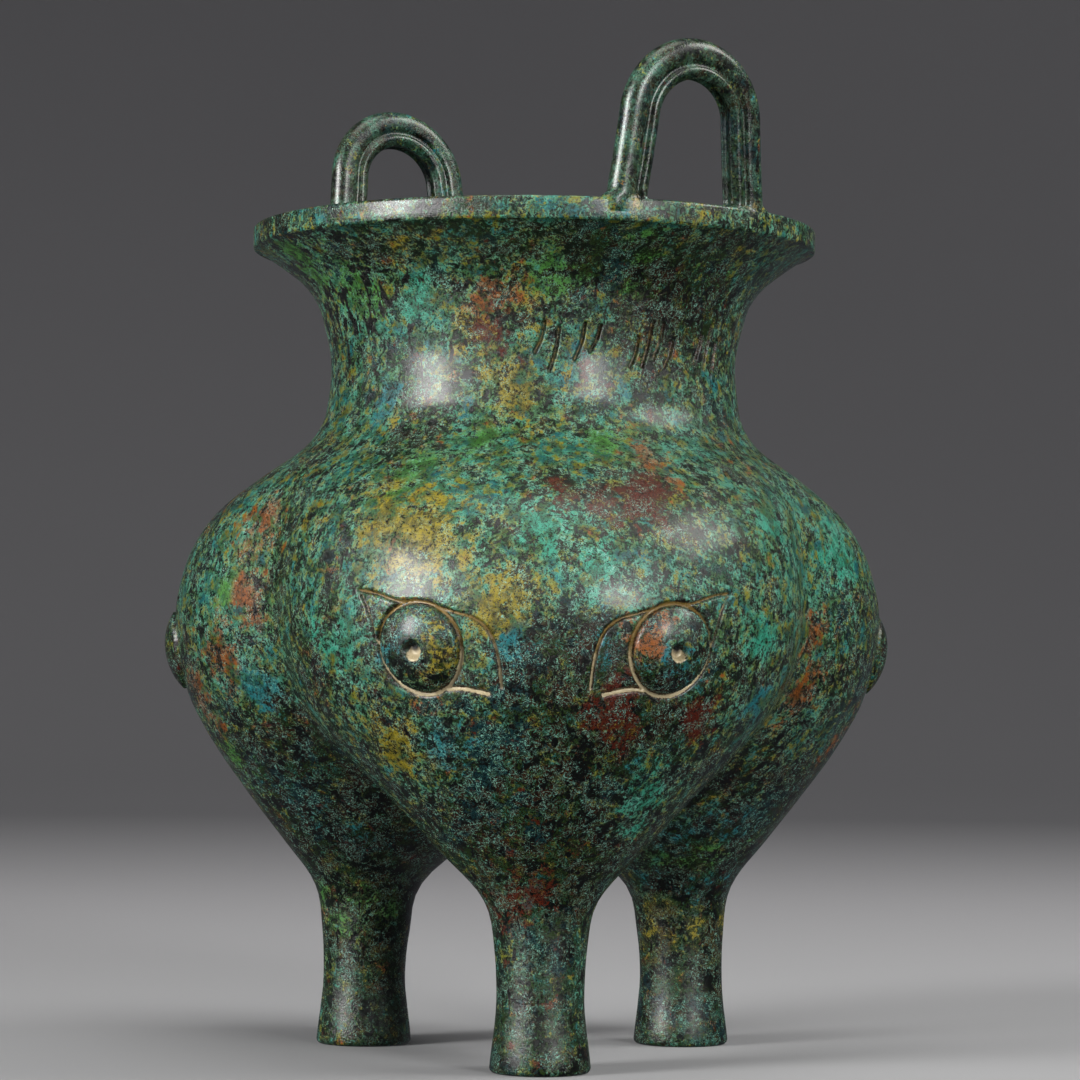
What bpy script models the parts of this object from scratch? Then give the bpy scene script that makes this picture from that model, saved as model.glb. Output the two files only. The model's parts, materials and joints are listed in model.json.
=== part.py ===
"""Bronze tripod vessel, cast in one: three pouched legs, a flared mouth, a pair of eyes on each pouch
and two loop handles that stand on the rim.

Metres, +Z up. The feet stand on Z = 0, one pouch points to -Y and the handles are on -X and +X. The
origin is the middle of the bounding box's base.
"""

import math

import bmesh
import bpy
import numpy as np
from mathutils import Matrix, Vector

# Mouth and neck: the shoulder rises to the neck, which is the waist, and the flare from there to the lip
SHOULDER_RISE = 0.0500
NECK_RADIUS = 0.0409
FLARE_RISE = 0.0214
LIP_HEIGHT = 0.0044
LIP_STEP = 0.0012
RIM_RADIUS = 0.0562
RIM_LAND = 0.0058
RIM_EDGE = 0.0007

# Wall of the casting, and the bottom of the hollow inside each leg
WALL = 0.0030
HOLLOW_FLOOR = 0.0345
HOLLOW_ROUND = 0.0080

# Pouches: each is a stack of circles whose centres stand off the mouth's axis
POUCHES = 3
FIRST_POUCH = math.radians(-90)
BELLY_HEIGHT = 0.0880
BELLY_RADIUS = 0.0512
BELLY_OFFSET = 0.0236
CREASE_FILLET = 0.0024

# Legs and feet
LEG_OFFSET = 0.0374
ANKLE_HEIGHT = 0.0150
ANKLE_RADIUS = 0.0087
FOOT_RADIUS = 0.0096
FOOT_EDGE = 0.0009

# Eyes: a low boss with a pit, inside a carved outline, two on each pouch, a drop below the belly
EYE_DROP = 0.0085
EYE_ANGLE = math.radians(27.7)
EYES_TURN = math.radians(-2.0)
BOSS_RADIUS = 0.0078
BOSS_RISE = 0.0030
PIT_RADIUS = 0.0018
PIT_DEPTH = 0.0014
LINE_WIDTH = 0.0013
LINE_DEPTH = 0.0005

# Handles: loops of a moulded bar, on the rim, splayed at the base and leaning outwards
HANDLES = 2
FIRST_HANDLE = math.radians(0)
HANDLE_RISE = 0.0317
HANDLE_WIDTH = 0.0318
HANDLE_SPLAY = 0.0017
HANDLE_LEAN = math.radians(5.5)
HANDLE_ROOT = 0.0026
BAR_WIDTH = 0.0078
BAR_SETBACK = 0.0002
BEAD_WIDTH = 0.0011
BEAD_GROOVE = 0.0006

# Shares of the way in height, offset and radius: ankle to belly, belly to neck, neck to lip
LEG_SHAPE = (
    (0.107, 0.020, 0.012),
    (0.234, 0.056, 0.059),
    (0.362, 0.200, 0.260),
    (0.489, 0.360, 0.470),
    (0.616, 0.600, 0.690),
    (0.740, 0.810, 0.865),
    (0.890, 0.955, 0.975),
)
SHOULDER_SHAPE = (
    (0.120, 0.060, -0.006),
    (0.288, 0.229, 0.000),
    (0.412, 0.428, 0.110),
    (0.532, 0.678, 0.370),
    (0.652, 0.900, 0.755),
    (0.740, 0.985, 0.895),
    (0.832, 1.000, 0.965),
)
FLARE_SHAPE = ((0.278, 0.085), (0.556, 0.240), (0.694, 0.410), (0.833, 0.660))

# The eye's outline, in radii of its ring from the boss's middle: +X is towards the pouch's crest
UPPER_LID = (
    (-1.47, 1.25),
    (-1.10, 1.20),
    (-0.78, 1.11),
    (-0.42, 1.00),
    (0.05, 1.02),
    (0.48, 0.89),
    (0.86, 0.77),
    (1.32, 0.63),
    (1.60, 0.40),
    (1.74, 0.08),
    (1.82, -0.36),
    (1.84, -0.84),
)
LOWER_LID = ((0.56, -0.88), (0.86, -0.86), (1.20, -0.91), (1.52, -0.98))
OUTER_LID = ((-1.40, 1.15), (-1.25, 0.85), (-1.15, 0.52), (-1.09, 0.20), (-0.99, -0.02))

# Facets
COLUMNS = 16
LEG_ROWS = 8
BODY_ROWS = 18
INNER_LEG_ROWS = LEG_ROWS // 4
INNER_BODY_ROWS = 8
HOLLOW_ROWS = 3
TABLE_STEPS = 1000
BOSS_SIDES = 16
BOSS_STEPS = 3
RING_STEPS = 16
LINE_SIDES = 4
LINE_STEP = 0.0036
ROLL_STEPS = 3
ARCH_STEPS = 9
CREASE_STEPS = 2
CROTCH_BAND = 0.0030
WARP_FROM = math.radians(100)
CREASE_ANGLE = math.radians(12)
SHARP_ANGLE = math.radians(35)
MERGE = 1e-5

POUCH_HALF = math.pi / POUCHES
NECK_HEIGHT = BELLY_HEIGHT + SHOULDER_RISE
LIP_BASE = NECK_HEIGHT + FLARE_RISE
RIM_HEIGHT = LIP_BASE + LIP_HEIGHT
EYE_HEIGHT = BELLY_HEIGHT - EYE_DROP
ROUND_MIDDLE = 1 - math.sqrt(0.5)


def smooth_curve(places, values, at):
    """Values at the given places, on a smooth curve through the known ones."""
    slopes = np.gradient(values, places)
    i = np.clip(np.searchsorted(places, at) - 1, 0, len(places) - 2)
    span = places[i + 1] - places[i]
    t = (at - places[i]) / span
    bend_in = t * (1 - t) ** 2 * span * slopes[i]
    bend_out = t * t * (t - 1) * span * slopes[i + 1]
    step = t * t * (3 - 2 * t)
    return values[i] + step * (values[i + 1] - values[i]) + bend_in + bend_out


def outer_profile():
    """Heights, and the offset and radius of a pouch's circle at each, from the foot to the lip."""
    lip_radius = RIM_RADIUS - LIP_STEP
    half_flare = ANKLE_RADIUS + (FOOT_RADIUS - ANKLE_RADIUS) * ROUND_MIDDLE
    knots = [(FOOT_EDGE, LEG_OFFSET, FOOT_RADIUS)]
    knots.append((ANKLE_HEIGHT / 2, LEG_OFFSET, half_flare))
    knots.append((ANKLE_HEIGHT, LEG_OFFSET, ANKLE_RADIUS))
    for up, aside, wide in LEG_SHAPE + ((1, 1, 1),):
        knots.append((
            ANKLE_HEIGHT + up * (BELLY_HEIGHT - ANKLE_HEIGHT),
            LEG_OFFSET + aside * (BELLY_OFFSET - LEG_OFFSET),
            ANKLE_RADIUS + wide * (BELLY_RADIUS - ANKLE_RADIUS),
        ))
    for up, aside, wide in SHOULDER_SHAPE + ((1, 1, 1),):
        knots.append((
            BELLY_HEIGHT + up * SHOULDER_RISE,
            BELLY_OFFSET * (1 - aside),
            BELLY_RADIUS + wide * (NECK_RADIUS - BELLY_RADIUS),
        ))
    for up, wide in FLARE_SHAPE + ((1, 1),):
        knots.append((
            NECK_HEIGHT + up * FLARE_RISE,
            0,
            NECK_RADIUS + wide * (lip_radius - NECK_RADIUS),
        ))
    heights, offsets, radii = np.array(knots).T
    at = np.linspace(heights[0], heights[-1], TABLE_STEPS)
    offset = np.maximum(smooth_curve(heights, offsets, at), 0)
    return at, offset, smooth_curve(heights, radii, at)


def inner_profile(heights, offset, radius):
    """The hollow's circles: a wall inside the outer ones on the pouch's outer and inner side alike."""
    outer_wall = WALL * np.hypot(1, np.gradient(offset + radius, heights))
    inner_wall = WALL * np.hypot(1, np.gradient(offset - radius, heights))
    inner_wall = np.where(offset > 0, inner_wall, outer_wall)
    narrower = np.maximum(radius - (outer_wall + inner_wall) / 2, 0)
    round_top = HOLLOW_FLOOR + HOLLOW_ROUND
    depth = np.clip((round_top - heights) / HOLLOW_ROUND, 0, 1)
    inside = heights > HOLLOW_FLOOR
    centre = offset + (inner_wall - outer_wall) / 2
    return heights[inside], centre[inside], (narrower * np.sqrt(1 - depth**2))[inside]


class Skin:
    """One skin of the pouches, outside or inside. Neighbouring pouches meet in a crease."""

    def __init__(self, heights, offsets, radii, level):
        self.heights = heights
        self.offsets = offsets
        self.radii = radii
        self.level = level
        self.low = self.height_at(1 / math.sin(POUCH_HALF))
        self.apex = self.height_at(1)
        self.ring = self.low - CROTCH_BAND

    def height_at(self, ratio):
        """Where a pouch's centre is this many of its radii away from the mouth's axis."""
        above = self.heights > self.level
        return float(np.interp(-ratio, -(self.offsets / self.radii)[above], self.heights[above]))

    def circle(self, height):
        offset = np.interp(height, self.heights, self.offsets)
        return offset, np.interp(height, self.heights, self.radii)

    def row_ends(self, height):
        """The angle and height where a row ends: on a crease, or at a closed ring's inner side."""
        offset, radius = self.circle(height)
        if height >= self.low:
            return POUCH_HALF + math.asin(min(1, math.sin(POUCH_HALF) * offset / radius)), height
        if height > self.ring:
            share = (self.low - height) / (self.low - self.ring)
            end = POUCH_HALF + math.pi / 2 + share * (math.pi / 2 - POUCH_HALF)
            return end, self.height_at(math.sin(end - POUCH_HALF) / math.sin(POUCH_HALF))
        share = max(0, (height - self.level) / (self.ring - self.level))
        return math.pi, height + share * (self.apex - self.ring)

    def row(self, height):
        """Points across a pouch that faces +X, in one row. Its ends lie exactly in the folds."""
        end, end_height = self.row_ends(height)
        angles = np.linspace(-end, end, COLUMNS + 1)
        warp = np.clip((abs(angles) - WARP_FROM) / max(end - WARP_FROM, MERGE), 0, 1)
        heights = height + (end_height - height) * warp * warp * (3 - 2 * warp)
        offset, radius = self.circle(heights)
        across = np.stack([offset + radius * np.cos(angles), radius * np.sin(angles), heights], axis=1)
        if height >= self.ring:
            reach = math.hypot(*across[0, :2])
            across[0, :2] = reach * math.cos(POUCH_HALF), -reach * math.sin(POUCH_HALF)
            across[-1, :2] = reach * math.cos(POUCH_HALF), reach * math.sin(POUCH_HALF)
        return across

    def heights_between(self, low, high, rows):
        """Heights that part the pouch's outermost line into equal lengths, both ends included."""
        at = np.linspace(low, high, TABLE_STEPS)
        offset, radius = self.circle(at)
        reach = np.hypot(np.diff(offset + radius), np.diff(at))
        length = np.concatenate([[0], np.cumsum(reach)])
        return np.interp(np.linspace(0, length[-1], rows + 1), length, at)


def ring_of(height, radius):
    """A pouch's share of a level circle round the mouth's axis."""
    angles = np.linspace(-POUCH_HALF, POUCH_HALF, COLUMNS + 1)
    level = np.full_like(angles, height)
    return np.stack([radius * np.cos(angles), radius * np.sin(angles), level], axis=1)


def foot_row(height, inset):
    """A closed circle low on the foot, as far in from its side as the sole's round edge needs."""
    angles = np.linspace(-math.pi, math.pi, COLUMNS + 1)
    radius = FOOT_RADIUS - inset
    flat = np.full_like(angles, height)
    return np.stack([LEG_OFFSET + radius * np.cos(angles), radius * np.sin(angles), flat], axis=1)


def pouch_rows(outer, inner):
    """Rows of points over one pouch: up the outside, over the rim and down the inside."""
    rows = [foot_row(0, FOOT_EDGE), foot_row(FOOT_EDGE * ROUND_MIDDLE, FOOT_EDGE * ROUND_MIDDLE)]
    leg = outer.heights_between(FOOT_EDGE, outer.ring, LEG_ROWS)
    body = outer.heights_between(outer.low, LIP_BASE, BODY_ROWS)
    crotch = (outer.ring + outer.low) / 2
    rows += [outer.row(height) for height in (*leg, crotch, *body)]

    mouth = RIM_RADIUS - RIM_LAND
    rows.append(ring_of(LIP_BASE, RIM_RADIUS))
    rows.append(ring_of(RIM_HEIGHT - RIM_EDGE, RIM_RADIUS))
    rows.append(ring_of(RIM_HEIGHT, RIM_RADIUS - RIM_EDGE))
    rows.append(ring_of(RIM_HEIGHT, mouth + RIM_EDGE))
    rows.append(ring_of(RIM_HEIGHT - RIM_EDGE, mouth))

    body = inner.heights_between(inner.low, LIP_BASE - WALL / 2, INNER_BODY_ROWS)[::-1]
    leg = inner.heights_between(inner.level, inner.ring, INNER_LEG_ROWS)[::-1]
    crotch = (inner.ring + inner.low) / 2
    rows += [inner.row(height) for height in (*body, crotch, *leg)]
    for step in range(HOLLOW_ROWS, 0, -1):
        up = HOLLOW_ROUND * (1 - math.cos(step / (HOLLOW_ROWS + 1) * math.pi / 2))
        rows.append(inner.row(HOLLOW_FLOOR + up))
    return rows


def make_shell(outer, inner):
    """The vessel without its eyes and handles: one grid for each pouch, welded along the creases."""
    rows = pouch_rows(outer, inner)
    shell = bmesh.new()
    for pouch in range(POUCHES):
        lay_grid(shell, rows, pouch_turn(pouch))
    close(shell)
    creases = [edge for edge in shell.edges if is_crease(edge)]
    bmesh.ops.bevel(
        shell,
        geom=creases,
        offset=CREASE_FILLET,
        segments=CREASE_STEPS,
        profile=0.5,
        affect="EDGES",
        material=-1,
    )
    return shell


def is_crease(edge):
    """Whether the edge lies in the fold between two pouches, on the outside."""
    if edge.calc_face_angle_signed() > -CREASE_ANGLE:
        return False
    for vert in edge.verts:
        turn = math.atan2(vert.co.y, vert.co.x) - FIRST_POUCH - POUCH_HALF
        aside = math.remainder(turn, 2 * POUCH_HALF) * math.hypot(vert.co.x, vert.co.y)
        if abs(aside) > MERGE:
            return False
    return True


def pouch_turn(pouch):
    return Matrix.Rotation(FIRST_POUCH + pouch * 2 * POUCH_HALF, 4, "Z")


def lay_grid(form, rows, place):
    """A grid of faces through rows of points."""
    points = np.array(rows)
    grid = bmesh.ops.create_grid(
        form, x_segments=points.shape[1] - 1, y_segments=points.shape[0] - 1, size=1
    )["verts"]
    for vert, point in zip(grid, points.reshape(-1, 3)):
        vert.co = place @ Vector(point)


def close(form):
    """Welds seams and poles, fills what is left open and turns the faces outwards."""
    bmesh.ops.remove_doubles(form, verts=form.verts, dist=MERGE)
    open_edges = [edge for edge in form.edges if edge.is_boundary]
    bmesh.ops.holes_fill(form, edges=open_edges, sides=0)
    bmesh.ops.recalc_face_normals(form, faces=form.faces)


def sweep(form, section, frames):
    """Adds a bar with this section along the frames, whose Z points along it."""
    outline = list(section) + [section[0]]
    rows = [[frame @ Vector((x, y, 0)) for x, y in outline] for frame in frames]
    lay_grid(form, rows, Matrix())


def frame_at(origin, along, out):
    """X across, Y out and Z along."""
    along = along.normalized()
    across = out.cross(along).normalized()
    axes = Matrix((across, along.cross(across), along)).transposed().to_4x4()
    return Matrix.Translation(origin) @ axes


def skin_point(skin, angle, height, lift):
    """A point over the skin of a pouch that faces +X, and the way out of the skin there."""
    offset, radius = skin.circle(height)
    above_offset, above_radius = skin.circle(height + LINE_WIDTH)
    slope = (above_offset - offset) * math.cos(angle) + above_radius - radius
    out = Vector((math.cos(angle), math.sin(angle), -slope / LINE_WIDTH)).normalized()
    on = Vector((offset + radius * math.cos(angle), radius * math.sin(angle), height))
    return on + lift * out, out


def eye_point(skin, side, point, lift=0):
    """The same, at a point of the eye's outline in metres. side is -1 or 1."""
    radius = skin.circle(EYE_HEIGHT)[1]
    angle = side * (EYE_ANGLE - point[0] / radius) + EYES_TURN
    return skin_point(skin, angle, EYE_HEIGHT + point[1], lift)


def evenly(points, step):
    """Points on a smooth line through the given ones, about a step apart."""
    knots = np.array(points)
    lengths = np.concatenate([[0], np.cumsum(np.hypot(*np.diff(knots, axis=0).T))])
    at = np.linspace(0, lengths[-1], 1 + round(lengths[-1] / step))
    return np.stack([smooth_curve(lengths, values, at) for values in knots.T], axis=1)


def add_line(form, skin, pouch, side, points):
    """Cutter for one carved line of an eye. Its section leaves the line's width and depth."""
    radius = (LINE_WIDTH**2 / 4 + LINE_DEPTH**2) / (2 * LINE_DEPTH)
    lift = radius - LINE_DEPTH
    turns = [math.radians(-90) + 2 * math.pi * i / LINE_SIDES for i in range(LINE_SIDES)]
    section = [(radius * math.cos(turn), radius * math.sin(turn)) for turn in turns]
    here = [eye_point(skin, side, point, lift) for point in points]
    closed = np.allclose(points[0], points[-1])
    frames = []
    for i, (origin, out) in enumerate(here):
        before = here[i - 1 if i else (-2 if closed else 0)][0]
        after = here[i + 1 if i + 1 < len(here) else (1 if closed else i)][0]
        frames.append(pouch_turn(pouch) @ frame_at(origin, after - before, out))
    sweep(form, section, frames)


def add_boss(form, skin, pouch, side):
    """A low dome with a pit in its top and a short skirt sunk in the wall."""
    sphere = (BOSS_RADIUS**2 + BOSS_RISE**2) / (2 * BOSS_RISE)
    skirt = WALL / 2
    profile = [(0, -skirt), (BOSS_RADIUS, -skirt)]
    for step in range(BOSS_STEPS + 1):
        radius = BOSS_RADIUS + (PIT_RADIUS - BOSS_RADIUS) * step / BOSS_STEPS
        profile.append((radius, math.sqrt(sphere**2 - radius**2) - sphere + BOSS_RISE))
    profile.append((PIT_RADIUS / 2, BOSS_RISE - PIT_DEPTH))
    profile.append((0, BOSS_RISE - PIT_DEPTH))
    turns = np.linspace(0, 2 * math.pi, BOSS_SIDES + 1)
    rows = [[(r * math.cos(turn), h, r * math.sin(turn)) for turn in turns] for r, h in profile]
    origin, out = eye_point(skin, side, (0, 0))
    lay_grid(form, rows, pouch_turn(pouch) @ frame_at(origin, Vector((0, 0, 1)), out))


def bar_section():
    """The handle's bar: a round roll, a groove on both faces and a thin bead. +X is out of the loop."""
    half, deep = BAR_WIDTH / 2, RIM_LAND / 2 - BAR_SETBACK
    bead, groove = BEAD_WIDTH - half, BEAD_GROOVE
    turns = np.linspace(0, math.pi / 2, ROLL_STEPS + 1)
    face = [(half - deep * (1 - math.cos(turn)), deep * math.sin(turn)) for turn in turns]
    face += [(bead + 2 * groove, deep), (bead + groove, deep - groove), (bead, deep - groove)]
    face += [(bead - groove / 2, deep), (groove / 2 - half, deep), (-half, deep - groove)]
    return face + [(x, -y) for x, y in reversed(face[1:])]


def add_handle(form, turn):
    """One loop, from root to root. It is made in its own plane and then leant and turned."""
    middle = (HANDLE_WIDTH - BAR_WIDTH) / 2
    spring = HANDLE_RISE - BAR_WIDTH / 2 - middle
    foot = middle + HANDLE_SPLAY
    leg = [(-foot, -HANDLE_ROOT), (-foot, 0), (-(foot + middle) / 2, spring / 2)]
    angles = np.linspace(math.pi, 0, ARCH_STEPS + 1)
    arch = [(middle * math.cos(angle), spring + middle * math.sin(angle)) for angle in angles]
    path = leg + arch + [(-x, y) for x, y in reversed(leg)]
    stand = math.sqrt((RIM_RADIUS - RIM_LAND / 2) ** 2 - foot**2)
    place = (
        Matrix.Rotation(turn, 4, "Z")
        @ Matrix.Translation((stand, 0, RIM_HEIGHT))
        @ Matrix.Rotation(HANDLE_LEAN, 4, "Y")
        @ Matrix.Rotation(math.radians(90), 4, "Z")
        @ Matrix.Rotation(math.radians(90), 4, "X")
    )
    frames = []
    for i, (x, y) in enumerate(path):
        before, after = path[max(i - 1, 0)], path[min(i + 1, len(path) - 1)]
        along = Vector((after[0] - before[0], after[1] - before[1], 0))
        frames.append(place @ frame_at(Vector((x, y, 0)), along, Vector((0, 0, 1))))
    sweep(form, bar_section(), frames)


def clear_scene():
    for item in list(bpy.data.objects):
        bpy.data.objects.remove(item)


def bronze():
    material = bpy.data.materials.new("patinated bronze")
    material.use_nodes = True
    shader = material.node_tree.nodes["Principled BSDF"]
    shader.inputs["Base Color"].default_value = (0.07, 0.15, 0.11, 1)
    shader.inputs["Metallic"].default_value = 0.35
    shader.inputs["Roughness"].default_value = 0.42
    return material


def finished(name, form):
    """The form as an object of its own."""
    close(form)
    mesh = bpy.data.meshes.new(name)
    form.to_mesh(mesh)
    form.free()
    item = bpy.data.objects.new(name, mesh)
    bpy.context.scene.collection.objects.link(item)
    return item


def combine(item, name, form, operation):
    """Joins a form to the item or cuts it away, and hides it.

    The lines cross the bosses and each other, and the EXACT solver leaves open edges there at some sizes.
    """
    helper = finished(name, form)
    helper.parent = item.parent
    helper.hide_render = True
    helper.display_type = "WIRE"
    modifier = item.modifiers.new(name, "BOOLEAN")
    modifier.object = helper
    modifier.operation = operation
    modifier.solver = "MANIFOLD"


def centre(item):
    """Moves the item's parent so that the middle of the item's bounding box is over the origin."""
    evaluated = item.evaluated_get(bpy.context.evaluated_depsgraph_get())
    corners = np.array(evaluated.bound_box)
    middle = (corners.min(axis=0) + corners.max(axis=0)) / 2
    item.parent.location = (-middle[0], -middle[1], 0)


def each_eye():
    return [(pouch, side) for pouch in range(POUCHES) for side in (-1, 1)]


def make_raised(skin):
    """What stands on the wall and the rim: the bosses and the handles."""
    form = bmesh.new()
    for pouch, side in each_eye():
        add_boss(form, skin, pouch, side)
    for handle in range(HANDLES):
        add_handle(form, FIRST_HANDLE + handle * 2 * math.pi / HANDLES)
    return form


def eye_lines():
    """The carved lines of an eye by name, as points in metres."""
    radius = BOSS_RADIUS + LINE_WIDTH / 2
    turns = np.linspace(0, 2 * math.pi, RING_STEPS + 1)
    lines = {"ring": radius * np.stack([np.cos(turns), np.sin(turns)], axis=1)}
    for name, lid in (("upper_lid", UPPER_LID), ("lower_lid", LOWER_LID), ("outer_lid", OUTER_LID)):
        lines[name] = evenly(radius * np.array(lid), LINE_STEP)
    return lines


def main():
    clear_scene()
    profile = outer_profile()
    outer = Skin(*profile, ANKLE_HEIGHT)
    inner = Skin(*inner_profile(*profile), HOLLOW_FLOOR + HOLLOW_ROUND)
    vessel = finished("vessel", make_shell(outer, inner))
    vessel.parent = bpy.data.objects.new("base", None)
    bpy.context.scene.collection.objects.link(vessel.parent)
    combine(vessel, "bosses_and_handles", make_raised(outer), "UNION")
    for name, points in eye_lines().items():
        form = bmesh.new()
        for pouch, side in each_eye():
            add_line(form, outer, pouch, side, points)
        combine(vessel, name, form, "DIFFERENCE")
    vessel.data.materials.append(bronze())
    vessel.data.shade_smooth()
    vessel.data.set_sharp_from_angle(angle=SHARP_ANGLE)
    centre(vessel)


main()
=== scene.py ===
import json
import math

import bmesh
import bpy
import numpy as np
from mathutils import Matrix, Vector, noise


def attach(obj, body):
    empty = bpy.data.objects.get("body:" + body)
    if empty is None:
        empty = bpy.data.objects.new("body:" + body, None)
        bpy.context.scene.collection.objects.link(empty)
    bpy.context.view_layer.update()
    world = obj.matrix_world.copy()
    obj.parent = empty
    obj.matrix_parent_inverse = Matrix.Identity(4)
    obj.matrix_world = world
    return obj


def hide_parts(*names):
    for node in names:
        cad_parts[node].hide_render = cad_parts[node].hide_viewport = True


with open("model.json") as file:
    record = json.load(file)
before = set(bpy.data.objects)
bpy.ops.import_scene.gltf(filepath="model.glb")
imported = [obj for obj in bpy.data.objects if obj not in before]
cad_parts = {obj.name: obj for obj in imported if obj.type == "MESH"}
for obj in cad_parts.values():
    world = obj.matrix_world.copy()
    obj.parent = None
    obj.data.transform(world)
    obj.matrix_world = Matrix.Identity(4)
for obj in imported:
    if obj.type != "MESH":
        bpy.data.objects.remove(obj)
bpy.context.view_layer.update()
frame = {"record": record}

feet = np.array([mount["pos_m"] for mount in frame["record"]["mounts"]])
mouthAxis = Vector(feet.mean(axis=0))  # the mouth stands over the middle of the three feet
print("frame loaded, mouth axis at", [round(1000 * x, 2) for x in mouthAxis], "mm")

# The vessel's form, the same as the solid's: three stacks of circles that meet in folds
body = {
    "pouches": 3,
    "firstPouch": math.radians(-90),
    "bellyHeight": 0.0880,
    "bellyRadius": 0.0512,
    "bellyOffset": 0.0236,
    "shoulderRise": 0.0500,
    "neckRadius": 0.0409,
    "flareRise": 0.0214,
    "lipHeight": 0.0044,
    "lipStep": 0.0012,
    "rimRadius": 0.0562,
    "rimLand": 0.0058,
    "rimEdge": 0.0006,
    "legOffset": 0.0374,
    "ankleHeight": 0.0150,
    "ankleRadius": 0.0087,
    "footRadius": 0.0096,
    "footEdge": 0.0009,
    "wall": 0.0030,
    "hollowFloor": 0.0345,
    "hollowRound": 0.0080,
    "foldFillet": 0.0013,  # softness of the fold between two pouches
    "foldFades": 0.0080,  # below this offset the pouches run together into the neck
    "foldReach": 0.0030,  # how far off the outer skin the loose faces in a fold are gathered
    "innerFoldReach": 0.0018,
    "legTube": 0.0030,  # this far below the folds each leg is a tube of its own
    "columns": 80,
    "innerColumns": 40,
    "legStep": 0.0021,  # height of the rows of faces
    "bellyStep": 0.0019,
    "innerLegStep": 0.0030,
    "innerStep": 0.0038,
    "weld": 1e-5,
    "inset": 0.00012,  # the waviness starts this far in
    "unevenness": 0.00025,  # hand-made waviness of the skin, only inwards
    # shares of the way in height, offset and radius, from knot to knot
    "legShape": ((0.107, 0.020, 0.012), (0.234, 0.056, 0.059), (0.362, 0.200, 0.260), (0.489, 0.360, 0.470),
                 (0.616, 0.600, 0.690), (0.740, 0.810, 0.865), (0.890, 0.955, 0.975), (1, 1, 1)),
    "shoulderShape": ((0.120, 0.060, -0.006), (0.288, 0.229, 0.000), (0.412, 0.428, 0.110),
                      (0.532, 0.678, 0.370), (0.652, 0.900, 0.755), (0.740, 0.985, 0.895),
                      (0.832, 1.000, 0.965), (1, 1, 1)),
    "flareShape": ((0.278, 0.085), (0.556, 0.240), (0.694, 0.410), (0.833, 0.660), (1, 1)),
}
neckHeight = body["bellyHeight"] + body["shoulderRise"]
lipBase = neckHeight + body["flareRise"]
rimHeight = lipBase + body["lipHeight"]
skinTop = lipBase - 0.0008  # what is done to the skin stops here
pouchHalf = math.pi / body["pouches"]
pouchTurns = [body["firstPouch"] + pouch * 2 * pouchHalf for pouch in range(body["pouches"])]


def smoothCurve(places, values, at):  # a smooth line through known values
    slopes = np.gradient(values, places)
    i = np.clip(np.searchsorted(places, at) - 1, 0, len(places) - 2)
    span = places[i + 1] - places[i]
    t = (at - places[i]) / span
    bend = t * (1 - t) * span * ((1 - t) * slopes[i] - t * slopes[i + 1])
    return values[i] + t * t * (3 - 2 * t) * (values[i + 1] - values[i]) + bend


def evenly(points, step):  # the same in the plane, with points about a step apart
    knots = np.array(points)
    lengths = np.concatenate([[0], np.cumsum(np.hypot(*np.diff(knots, axis=0).T))])
    at = np.linspace(0, lengths[-1], 1 + round(lengths[-1] / step))
    return np.stack([smoothCurve(lengths, values, at) for values in knots.T], axis=1)


def heightWhere(skin, ratio):  # height at which a pouch's offset is this many times its radius
    above = skin["z"] > skin["level"]
    return float(np.interp(-ratio, -(skin["offset"] / skin["radius"])[above], skin["z"][above]))


def makeSkin(heights, offsets, radii, level):
    skin = {"z": heights, "offset": offsets, "radius": radii, "level": level}
    skin["offsetSlope"] = np.gradient(offsets, heights)
    skin["radiusSlope"] = np.gradient(radii, heights)
    skin["low"] = heightWhere(skin, 1 / math.sin(pouchHalf))  # lowest point of a fold
    skin["apex"] = heightWhere(skin, 1)  # where the three folds meet on the axis
    skin["ring"] = skin["low"] - body["legTube"]
    return skin


def circleAt(skin, z):
    return np.interp(z, skin["z"], skin["offset"]), np.interp(z, skin["z"], skin["radius"])


def outerSkin():
    offsetSpan = body["bellyOffset"] - body["legOffset"]
    halfFlare = body["ankleRadius"] + (body["footRadius"] - body["ankleRadius"]) * (1 - math.sqrt(0.5))
    knots = [(body["footEdge"], body["legOffset"], body["footRadius"])]
    knots.append((body["ankleHeight"] / 2, body["legOffset"], halfFlare))
    knots.append((body["ankleHeight"], body["legOffset"], body["ankleRadius"]))
    for up, aside, wide in body["legShape"]:
        knots.append((
            body["ankleHeight"] + up * (body["bellyHeight"] - body["ankleHeight"]),
            body["legOffset"] + aside * offsetSpan,
            body["ankleRadius"] + wide * (body["bellyRadius"] - body["ankleRadius"]),
        ))
    for up, aside, wide in body["shoulderShape"]:
        knots.append((
            body["bellyHeight"] + up * body["shoulderRise"],
            body["bellyOffset"] * (1 - aside),
            body["bellyRadius"] + wide * (body["neckRadius"] - body["bellyRadius"]),
        ))
    for up, wide in body["flareShape"]:
        lipRadius = body["rimRadius"] - body["lipStep"]
        knots.append((
            neckHeight + up * body["flareRise"], 0, body["neckRadius"] + wide * (lipRadius - body["neckRadius"])
        ))
    heights, offsets, radii = np.array(knots).T
    at = np.linspace(heights[0], heights[-1], 1500)
    offset = np.maximum(smoothCurve(heights, offsets, at), 0)
    return makeSkin(at, offset, smoothCurve(heights, radii, at), body["ankleHeight"])


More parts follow.
